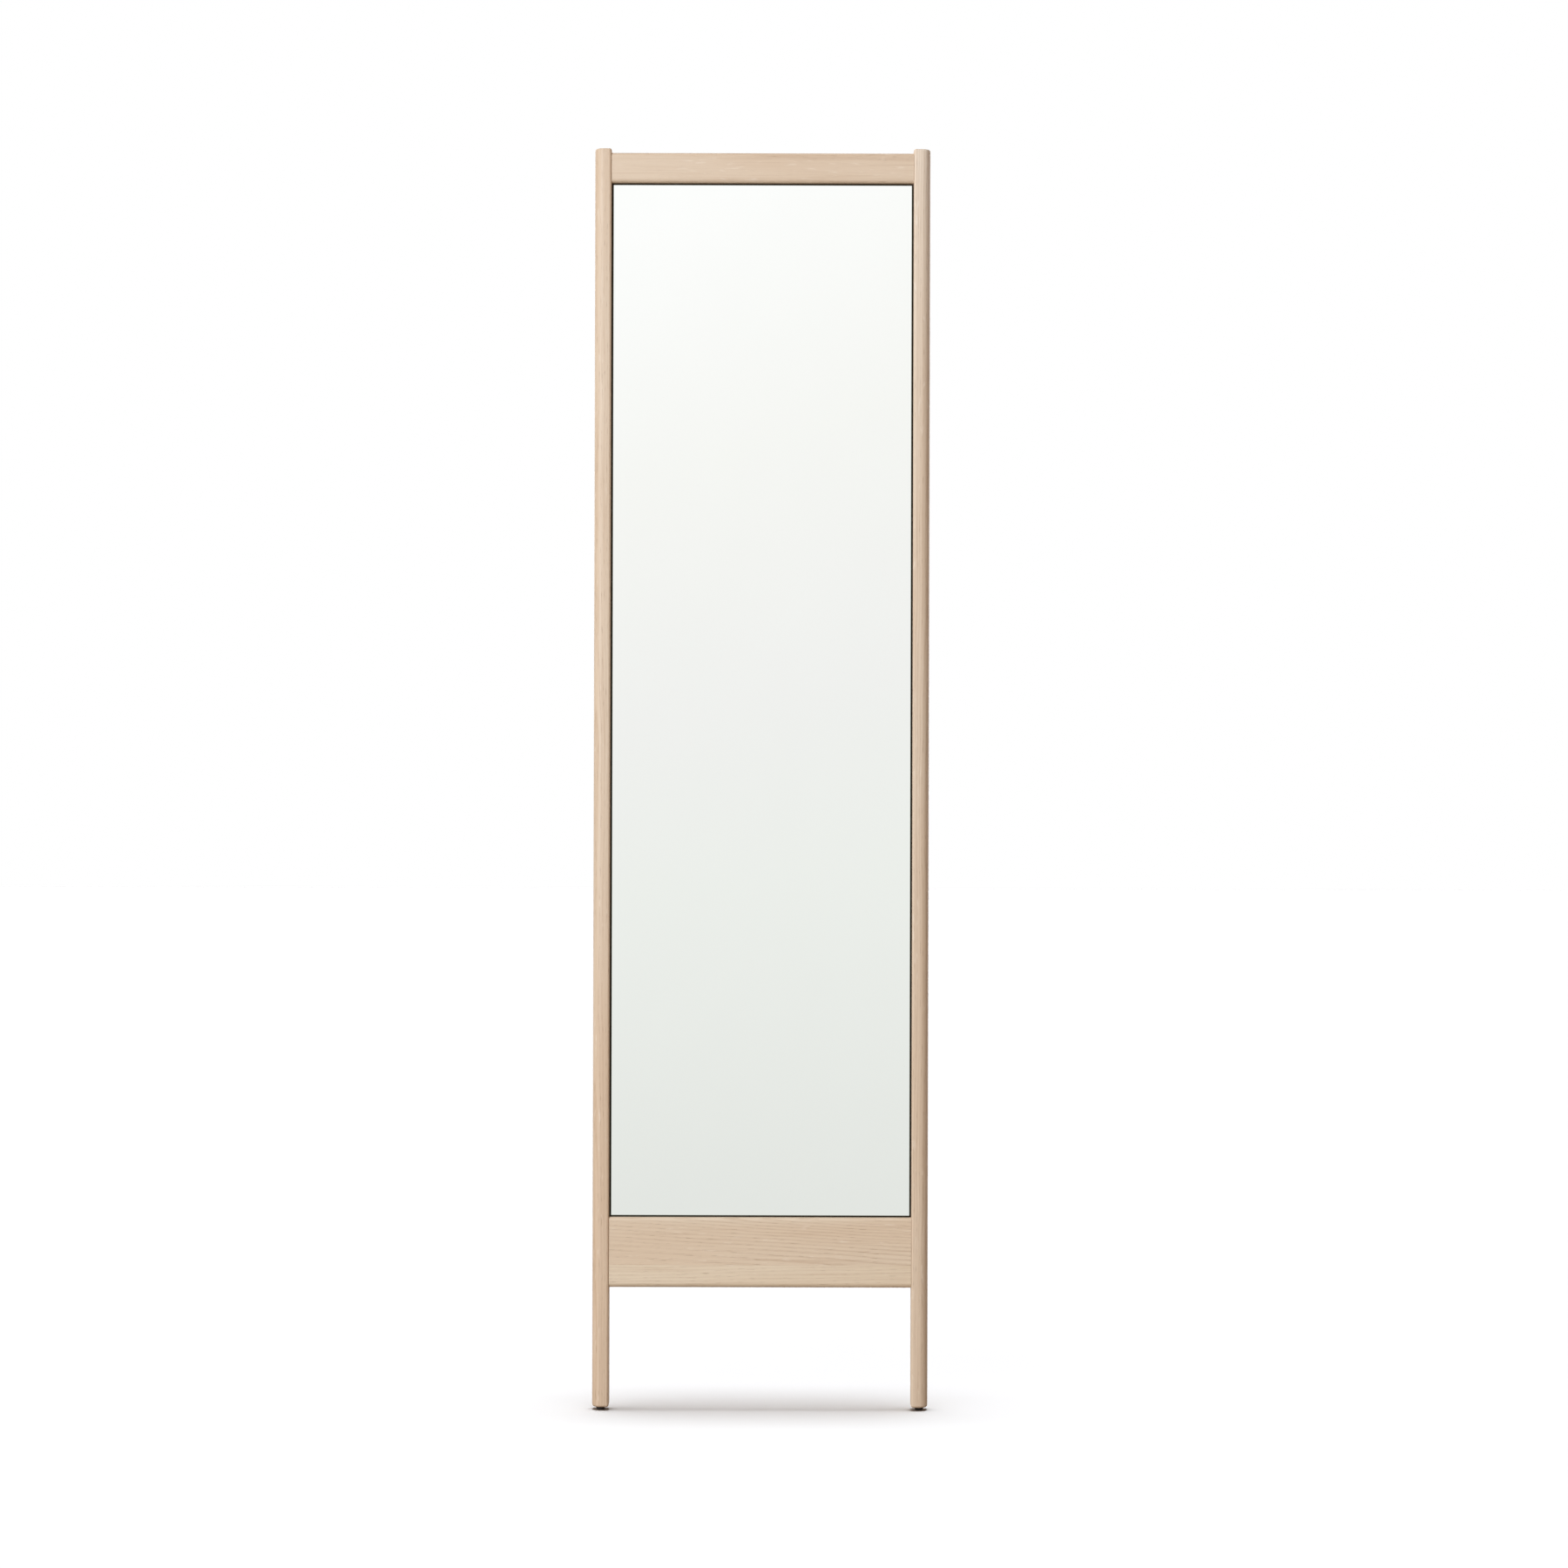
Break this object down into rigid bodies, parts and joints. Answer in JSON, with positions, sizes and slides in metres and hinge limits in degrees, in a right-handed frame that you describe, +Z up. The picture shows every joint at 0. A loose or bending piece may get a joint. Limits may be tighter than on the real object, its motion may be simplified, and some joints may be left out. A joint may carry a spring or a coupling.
{
  "type": "leaning floor mirror",
  "caption": "Tall full-length mirror in a slim ladder-shaped oak frame on short legs, which stands on screw-adjusted rubber feet and rests against a wall.",
  "frame": {"origin": "on the floor, under the middle of the object's box", "axes": "+Z up the stiles, +X to the right of a person who looks into the mirror, and the mirror faces -Y"},
  "size_m": [0.52, 0.0354, 1.955],
  "materials": {
    "stile_oak": "pale matt oiled oak, grain upright",
    "rail_oak": "pale matt oiled oak, grain level",
    "dowel_beech": "dry plain beech",
    "silvered_glass": "clear float glass silvered on its back, polished edge",
    "dark_board": "dark brown lacquered fibreboard, matt",
    "foam_tape": "matt black foam",
    "zinc_steel": "zinc plated, satin",
    "brass": "plain turned brass",
    "black_rubber": "matt moulded rubber"
  },
  "bodies": {
    "frame": {"left_stile": "stile_oak", "right_stile": "stile_oak", "top_rail": "rail_oak", "bottom_rail_upper_board": "rail_oak", "bottom_rail_lower_board": "rail_oak", "dowel_top_left_1": "dowel_beech", "dowel_top_left_2": "dowel_beech", "dowel_bottom_left_1": "dowel_beech", "dowel_bottom_left_2": "dowel_beech", "dowel_bottom_left_3": "dowel_beech", "dowel_top_right_1": "dowel_beech", "dowel_top_right_2": "dowel_beech", "dowel_bottom_right_1": "dowel_beech", "dowel_bottom_right_2": "dowel_beech", "dowel_bottom_right_3": "dowel_beech", "mirror_glass": "silvered_glass", "mirror_tape_1": "foam_tape", "mirror_tape_2": "foam_tape", "mirror_tape_3": "foam_tape", "mirror_tape_4": "foam_tape", "backing_board": "dark_board", "back_screw_left_1": "zinc_steel", "back_screw_left_2": "zinc_steel", "back_screw_left_3": "zinc_steel", "back_screw_left_4": "zinc_steel", "back_screw_left_5": "zinc_steel", "back_screw_top_left": "zinc_steel", "back_screw_bottom_left": "zinc_steel", "back_screw_right_1": "zinc_steel", "back_screw_right_2": "zinc_steel", "back_screw_right_3": "zinc_steel", "back_screw_right_4": "zinc_steel", "back_screw_right_5": "zinc_steel", "back_screw_top_right": "zinc_steel", "back_screw_bottom_right": "zinc_steel", "left_foot_insert": "brass", "left_wall_bumper": "black_rubber", "wall_plate_screw_left": "zinc_steel", "right_foot_insert": "brass", "right_wall_bumper": "black_rubber", "wall_plate_screw_right": "zinc_steel", "wall_plate": "zinc_steel"},
    "left_pad": {"left_foot_pad": "black_rubber"},
    "left_stem": {"left_foot_stem": "zinc_steel"},
    "right_pad": {"right_foot_pad": "black_rubber"},
    "right_stem": {"right_foot_stem": "zinc_steel"}
  },
  "joints": [
    {"name": "left_foot_height", "type": "slide", "parent": "frame", "child": "left_pad", "axis": [0, 0, -1], "range_m": [0, 0.01]},
    {"name": "left_foot_turn", "type": "hinge", "parent": "left_pad", "child": "left_stem", "pos_m": [-0.247, -0.00165, 0.003], "axis": [0, 0, -1], "range_deg": [0, 3600]},
    {"name": "right_foot_height", "type": "slide", "parent": "frame", "child": "right_pad", "axis": [0, 0, -1], "range_m": [0, 0.01]},
    {"name": "right_foot_turn", "type": "hinge", "parent": "right_pad", "child": "right_stem", "pos_m": [0.247, -0.00165, 0.003], "axis": [0, 0, -1], "range_deg": [0, 3600]}
  ],
  "couplings": [
    {"joint": "left_foot_turn", "follows": "left_foot_height", "rad_per_m": 6283.2},
    {"joint": "right_foot_turn", "follows": "right_foot_height", "rad_per_m": 6283.2}
  ]
}
